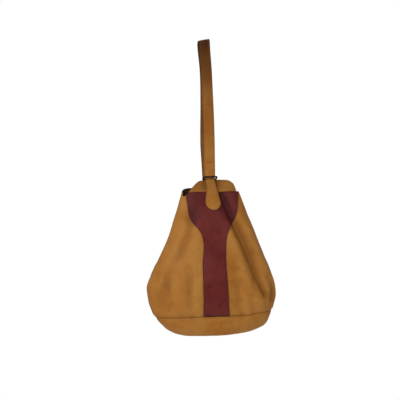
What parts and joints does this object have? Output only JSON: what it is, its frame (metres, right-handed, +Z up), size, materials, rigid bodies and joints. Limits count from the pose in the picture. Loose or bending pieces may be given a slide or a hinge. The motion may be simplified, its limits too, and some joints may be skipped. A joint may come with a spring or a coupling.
{
  "type": "bucket bag",
  "caption": "Limp leather bucket bag with a contrasting centre panel, hung by one long single strap, with a small closing flap and a strap ring at its mouth.",
  "frame": {"origin": "axis of the peg under the fold of the strap, in the middle of the strap's width", "axes": "+X across the bag along the peg, +Z up along the hanging strap, the front of the bag faces -Y"},
  "size_m": [0.2964, 0.1229, 0.6718],
  "materials": {
    "tan_leather": "smooth tan cowhide, satin",
    "burgundy_leather": "pebbled burgundy leather, satin",
    "worn_strap_leather": "tan leather darkened by handling, satin",
    "strap_lining_leather": "flesh side, matte",
    "lining": "dark brown cotton, matte",
    "board": "grey-brown fibre board",
    "dark_metal": "dark lacquered steel wire"
  },
  "bodies": {
    "bag": {"front_left_panel": "tan_leather", "front_right_panel": "tan_leather", "front_centre_panel": "burgundy_leather", "back_panel": "tan_leather", "base_band_front": "tan_leather", "base_band_back": "tan_leather", "bottom_panel": "tan_leather", "base_board": "board", "lining_wall": "lining", "lining_bottom": "lining", "front_facing": "tan_leather", "back_facing": "tan_leather", "front_reinforcement": "tan_leather", "back_reinforcement": "tan_leather", "shoulder_strap": "worn_strap_leather", "strap_front_drop": "tan_leather", "strap_back_drop": "tan_leather", "strap_backing": "strap_lining_leather", "front_tab": "tan_leather", "back_tab": "tan_leather"},
    "flap": {"flap_outer": "tan_leather", "flap_facing": "tan_leather", "ring_chape": "tan_leather"},
    "ring": {"closure_ring": "dark_metal"}
  },
  "joints": [
    {"name": "flap_lift", "type": "hinge", "parent": "bag", "child": "flap", "pos_m": [0, 0.019, -0.3302], "axis": [-1, 0, 0], "range_deg": [0, 14]},
    {"name": "ring_pivot", "type": "hinge", "parent": "flap", "child": "ring", "pos_m": [0, -0.0085, -0.311], "axis": [-1, 0, 0], "range_deg": [-14.5, 0.5]}
  ],
  "couplings": [
    {"joint": "ring_pivot", "follows": "flap_lift", "ratio": -1}
  ]
}
